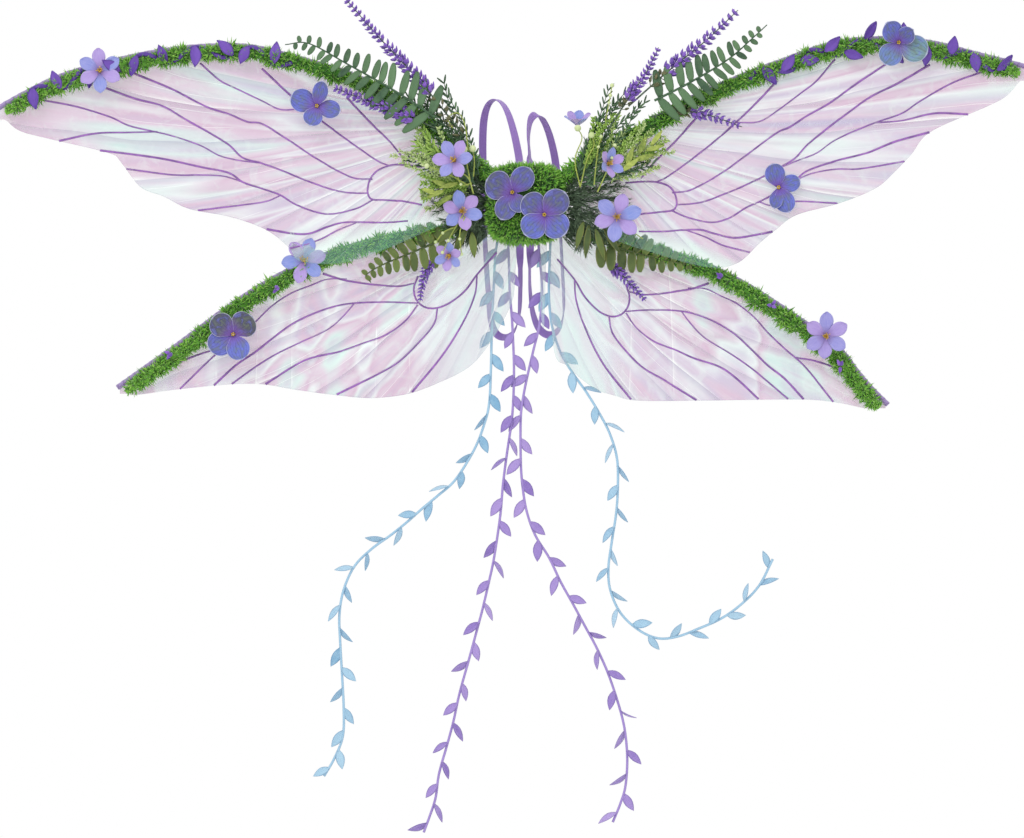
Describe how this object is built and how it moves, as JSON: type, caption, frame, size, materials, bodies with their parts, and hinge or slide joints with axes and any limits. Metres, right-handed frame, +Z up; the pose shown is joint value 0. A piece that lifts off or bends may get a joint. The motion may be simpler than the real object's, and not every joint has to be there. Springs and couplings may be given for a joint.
{
  "type": "fairy wings",
  "caption": "Wearable fairy wings: clear iridescent film on bent wire spars, with moss garlands, silk flowers, ferns, hanging leaf ribbons and elastic arm loops.",
  "frame": {"origin": "middle of the felt backing's rear face, where the wings rest on the wearer's back", "axes": "+Z up as worn, +X to the right seen from behind the wearer, -Y away from the wearer's back"},
  "size_m": [1.1968, 0.1632, 0.9753],
  "materials": {
    "iridescent_film": "clear film, pink and mint iridescence, creased, satin gloss",
    "spar_wire": "drawn florist wire",
    "purple_tape": "satin wire wrap, spiral",
    "purple_felt": "matte needled felt",
    "green_moss": "fuzzy chenille moss, bright and dark blades",
    "hydrangea_silk": "printed silk petals, blue violet with grey green veins",
    "lilac_silk": "soft silk petals, lilac",
    "periwinkle_silk": "soft silk petals, periwinkle",
    "fern_green": "moulded fern leaves, olive edges",
    "lavender_purple": "flocked lavender buds",
    "frosted_green": "frosted pale green sprigs and berries",
    "vine_purple": "die-cut fabric leaves, deep purple",
    "purple_elastic": "ribbed braided elastic",
    "ribbon_blue": "die-cut satin leaves, pale blue",
    "ribbon_purple": "die-cut satin leaves, lavender"
  },
  "bodies": {
    "hub": {"felt_backing": "purple_felt", "upper_yoke": "purple_tape", "lower_yoke": "purple_tape", "frame_binding": "purple_tape", "moss_pad": "green_moss", "centre_hydrangea_left": "hydrangea_silk", "centre_hydrangea_right": "hydrangea_silk", "lower_left_film_root": "iridescent_film", "lower_right_film_root": "iridescent_film", "left_arm_strap": "purple_elastic", "right_arm_strap": "purple_elastic", "outer_left_ribbon": "ribbon_blue", "inner_left_ribbon": "ribbon_purple", "inner_right_ribbon": "ribbon_purple", "outer_right_ribbon": "ribbon_blue"},
    "upper_left_wing": {"upper_left_spar_wire": "spar_wire", "upper_left_spar_tape": "purple_tape", "upper_left_film": "iridescent_film", "upper_left_moss_garland": "green_moss", "upper_left_leaf_vine": "vine_purple", "upper_left_tip_flower": "periwinkle_silk", "upper_left_hydrangea": "hydrangea_silk", "upper_left_fern": "fern_green", "upper_left_long_lavender": "lavender_purple", "upper_left_short_lavender": "lavender_purple", "upper_left_frosted_grass": "frosted_green", "upper_left_root_flower_high": "lilac_silk", "upper_left_root_flower_low": "lilac_silk"},
    "upper_right_wing": {"upper_right_spar_wire": "spar_wire", "upper_right_spar_tape": "purple_tape", "upper_right_film": "iridescent_film", "upper_right_moss_garland": "green_moss", "upper_right_leaf_vine": "vine_purple", "upper_right_tip_hydrangea": "hydrangea_silk", "upper_right_film_hydrangea": "hydrangea_silk", "upper_right_fern": "fern_green", "upper_right_long_lavender": "lavender_purple", "upper_right_short_lavender": "lavender_purple", "upper_right_low_lavender": "lavender_purple", "upper_right_frosted_grass": "frosted_green", "upper_right_stem_flower": "lilac_silk", "upper_right_side_flower": "lilac_silk", "upper_right_root_flower": "periwinkle_silk"},
    "lower_left_wing": {"lower_left_spar_wire": "spar_wire", "lower_left_spar_tape": "purple_tape", "lower_left_film": "iridescent_film", "lower_left_moss_garland": "green_moss", "lower_left_corner_flower": "lilac_silk", "lower_left_hydrangea": "hydrangea_silk", "lower_left_fern": "fern_green", "lower_left_lavender": "lavender_purple"},
    "lower_right_wing": {"lower_right_spar_wire": "spar_wire", "lower_right_spar_tape": "purple_tape", "lower_right_film": "iridescent_film", "lower_right_moss_garland": "green_moss", "lower_right_garland_flower": "lilac_silk", "lower_right_fern": "fern_green", "lower_right_lavender": "lavender_purple"}
  },
  "joints": [
    {"name": "upper_left_fold", "type": "hinge", "parent": "hub", "child": "upper_left_wing", "pos_m": [-0.05, -0.03, 0], "axis": [0, 0, 1], "range_deg": [0, 35]},
    {"name": "upper_right_fold", "type": "hinge", "parent": "hub", "child": "upper_right_wing", "pos_m": [0.05, -0.03, 0], "axis": [0, 0, -1], "range_deg": [0, 35]},
    {"name": "lower_left_fold", "type": "hinge", "parent": "hub", "child": "lower_left_wing", "pos_m": [-0.05, -0.008, 0], "axis": [0, 0, 1], "range_deg": [0, 28]},
    {"name": "lower_right_fold", "type": "hinge", "parent": "hub", "child": "lower_right_wing", "pos_m": [0.05, -0.008, 0], "axis": [0, 0, -1], "range_deg": [0, 28]}
  ],
  "couplings": [
    {"joint": "lower_left_fold", "follows": "upper_left_fold", "ratio": 0.8},
    {"joint": "lower_right_fold", "follows": "upper_right_fold", "ratio": 0.8}
  ]
}
